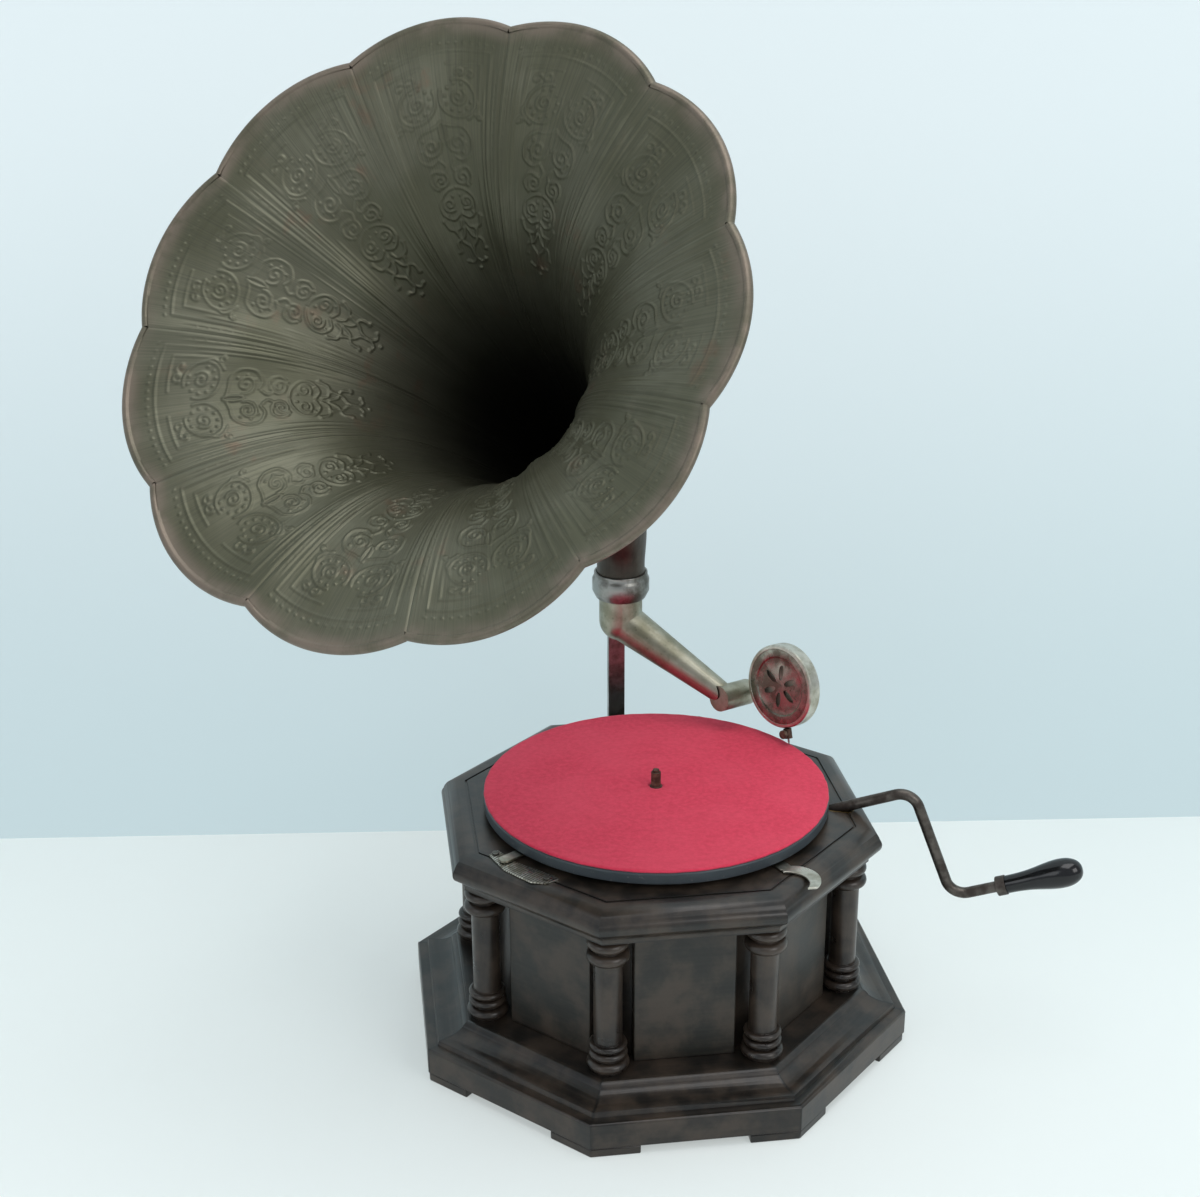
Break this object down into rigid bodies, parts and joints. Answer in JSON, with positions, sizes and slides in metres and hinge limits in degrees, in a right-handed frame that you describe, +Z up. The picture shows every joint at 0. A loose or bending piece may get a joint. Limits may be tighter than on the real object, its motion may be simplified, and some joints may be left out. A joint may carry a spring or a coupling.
{
  "type": "horn gramophone",
  "caption": "Horn gramophone: octagonal columned cabinet with a crank-wound spring motor, felt turntable, swinging arm with soundbox, and an embossed flower horn.",
  "frame": {"origin": "on the floor, under the middle of the whole object's box in plan", "axes": "+Z up, the front panel faces -Y, the crank comes out towards +X"},
  "size_m": [0.6474, 0.428, 0.7313],
  "materials": {
    "dark_wood": "very dark stained and polished, worn at the edges",
    "horn_metal": "thin olive-grey bronze lacquer, worn reddish brown",
    "tarnished_nickel": "old nickel plate, tarnished and dull",
    "red_felt": "felt",
    "slate_metal": "slate grey paint, satin",
    "steel": "oiled steel",
    "dark_steel": "dull brown-grey steel",
    "brass": "dull brass",
    "black_wood": "glossy black lacquer",
    "mica": "clear brownish sheet"
  },
  "bodies": {
    "cabinet": {"plinth_moulding": "dark_wood", "plinth_feet": "dark_wood", "bottom_board": "dark_wood", "side_panels": "dark_wood", "corner_posts": "dark_wood", "columns": "dark_wood", "top_board": "dark_wood", "crank_bush": "brass", "motor_plate": "steel", "motor_base_plate": "steel", "motor_pillars": "steel", "motor_screws": "steel", "governor_bearings": "steel", "speed_plate": "tarnished_nickel", "speed_plate_screws": "steel", "back_bracket": "tarnished_nickel", "bracket_screws": "steel", "horn_collar": "tarnished_nickel"},
    "turntable": {"platter": "slate_metal", "felt": "red_felt", "spindle": "steel", "worm_wheel": "brass"},
    "intermediate": {"intermediate_gear": "brass"},
    "barrel": {"spring_barrel": "steel", "barrel_cover": "steel", "mainspring": "steel"},
    "winding_arbor": {"barrel_arbor": "steel", "winding_wheel": "brass", "ratchet_wheel": "steel"},
    "click": {"click": "steel"},
    "governor": {"governor_shaft": "steel", "governor_weights": "brass", "governor_disc": "brass"},
    "brake": {"brake_lever": "tarnished_nickel"},
    "speed_regulator": {"speed_lever": "tarnished_nickel"},
    "crank": {"crank_rod": "dark_steel", "crank_pinion": "steel"},
    "crank_grip": {"crank_handle": "black_wood", "handle_ferrule": "dark_steel"},
    "arm": {"tonearm": "tarnished_nickel", "crosspiece": "tarnished_nickel"},
    "soundbox": {"gooseneck": "tarnished_nickel", "soundbox_case": "tarnished_nickel", "soundbox_face": "tarnished_nickel", "diaphragm": "mica"},
    "stylus": {"stylus_bar": "tarnished_nickel", "needle": "steel"},
    "thumbscrew": {"needle_screw": "tarnished_nickel"},
    "horn": {"horn_elbow": "horn_metal", "petal_1": "horn_metal", "petal_2": "horn_metal", "petal_3": "horn_metal", "petal_4": "horn_metal", "petal_5": "horn_metal", "petal_6": "horn_metal", "petal_7": "horn_metal", "petal_8": "horn_metal", "petal_9": "horn_metal", "petal_10": "horn_metal", "petal_11": "horn_metal"}
  },
  "joints": [
    {"name": "turntable_spin", "type": "hinge", "parent": "cabinet", "child": "turntable", "pos_m": [0.0295, 0.03665, 0.18], "axis": [0, 0, 1], "continuous": true},
    {"name": "intermediate_spin", "type": "hinge", "parent": "cabinet", "child": "intermediate", "pos_m": [0.04905, 0.07039, 0.063], "axis": [0, 0, 1], "continuous": true},
    {"name": "barrel_spin", "type": "hinge", "parent": "cabinet", "child": "barrel", "pos_m": [0.09174, 0.03932, 0.09], "axis": [0, 0, 1], "continuous": true},
    {"name": "governor_spin", "type": "hinge", "parent": "cabinet", "child": "governor", "pos_m": [0.012, 0.03665, 0.088], "axis": [0, 1, 0], "continuous": true},
    {"name": "crank_wind", "type": "hinge", "parent": "cabinet", "child": "crank", "pos_m": [0.1595, 0.00915, 0.175], "axis": [0.847, -0.3771, 0.3746], "continuous": true},
    {"name": "arbor_wind", "type": "hinge", "parent": "cabinet", "child": "winding_arbor", "pos_m": [0.09174, 0.03932, 0.09], "axis": [0, 0, 1], "continuous": true},
    {"name": "grip_spin", "type": "hinge", "parent": "crank", "child": "crank_grip", "pos_m": [0.29549, -0.0514, 0.14023], "axis": [0.847, -0.3771, 0.3746], "continuous": true},
    {"name": "click_lift", "type": "hinge", "parent": "cabinet", "child": "click", "pos_m": [0.11774, 0.05132, 0.1165], "axis": [0, 0, 1], "range_deg": [0, 20]},
    {"name": "brake_turn", "type": "hinge", "parent": "cabinet", "child": "brake", "pos_m": [0.0875, -0.04335, 0.1756], "axis": [0, 0, 1], "range_deg": [-8, 8]},
    {"name": "speed_turn", "type": "hinge", "parent": "cabinet", "child": "speed_regulator", "pos_m": [-0.0545, -0.01335, 0.1756], "axis": [0, 0, 1], "range_deg": [-6, 3.5]},
    {"name": "arm_swing", "type": "hinge", "parent": "cabinet", "child": "arm", "pos_m": [0.0241, 0.17665, 0.29], "axis": [0, 0, 1], "range_deg": [-29, 25]},
    {"name": "soundbox_flip", "type": "hinge", "parent": "arm", "child": "soundbox", "pos_m": [0.0935, 0.12365, 0.2161], "axis": [-0.8249, -0.5564, 0.0993], "range_deg": [0, 115]},
    {"name": "stylus_rock", "type": "hinge", "parent": "soundbox", "child": "stylus", "pos_m": [0.14093, 0.09271, 0.2045], "axis": [0.5588, -0.7766, 0.2909], "range_deg": [-0.4, 0.4], "stiffness_Nm_per_rad": 0.01},
    {"name": "needle_screw_turn", "type": "hinge", "parent": "stylus", "child": "thumbscrew", "pos_m": [0.13815, 0.08866, 0.199], "axis": [-0.8249, -0.5564, 0.0993], "range_deg": [0, 360]},
    {"name": "horn_swivel", "type": "hinge", "parent": "cabinet", "child": "horn", "pos_m": [0.0241, 0.17665, 0.3], "axis": [0, 0, 1], "continuous": true}
  ],
  "couplings": [
    {"joint": "intermediate_spin", "follows": "turntable_spin", "ratio": -0.25},
    {"joint": "barrel_spin", "follows": "turntable_spin", "ratio": 0.05},
    {"joint": "governor_spin", "follows": "turntable_spin", "ratio": 20},
    {"joint": "arbor_wind", "follows": "crank_wind", "ratio": -0.5}
  ]
}
